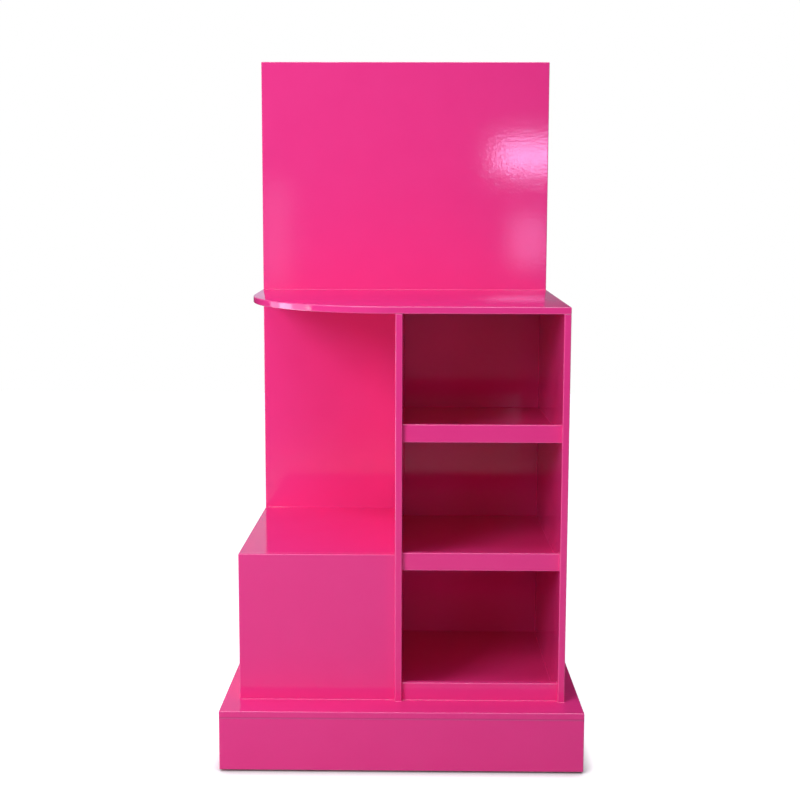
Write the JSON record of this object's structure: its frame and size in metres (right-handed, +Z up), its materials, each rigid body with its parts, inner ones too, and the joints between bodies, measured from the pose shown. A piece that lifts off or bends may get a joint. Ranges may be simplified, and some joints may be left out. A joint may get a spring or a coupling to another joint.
{
  "type": "display stand",
  "caption": "Free-standing lacquered board display stand: low plinth, closed podium beside a shelved bay, a counter with a rounded corner and a tall back panel as header.",
  "frame": {"origin": "on the floor, in the middle of the footprint", "axes": "+Z up, -Y towards the front (the side the shelves open to), +X to the right as seen from the front"},
  "size_m": [0.78, 0.59, 1.574],
  "materials": {
    "lacquered_board": "hot-pink spray lacquer on MDF, gloss",
    "raw_board": "bare MDF",
    "softwood": "sawn and planed pine",
    "beech": "fluted beech dowel rod",
    "nylon": "black nylon",
    "zinc_steel": "zinc-plated steel"
  },
  "bodies": {
    "root": {"plinth_deck": "lacquered_board", "plinth_front": "lacquered_board", "plinth_rear": "lacquered_board", "plinth_left": "lacquered_board", "plinth_right": "lacquered_board", "back_panel": "lacquered_board", "divider": "lacquered_board", "right_side_panel": "lacquered_board", "worktop": "lacquered_board", "middle_shelf": "lacquered_board", "upper_shelf": "lacquered_board", "middle_lip": "lacquered_board", "upper_lip": "lacquered_board", "bottom_lip": "lacquered_board", "podium_front": "lacquered_board", "podium_side": "lacquered_board", "podium_top": "lacquered_board", "plinth_rib_left": "raw_board", "plinth_rib_right": "raw_board", "plinth_blocks": "softwood", "podium_side_batten": "softwood", "podium_divider_batten": "softwood", "podium_front_batten": "softwood", "podium_rear_batten": "softwood", "deck_dowels": "beech", "lip_dowels": "beech", "worktop_dowels": "beech", "glides": "nylon", "back_screws": "zinc_steel"}
  },
  "joints": []
}
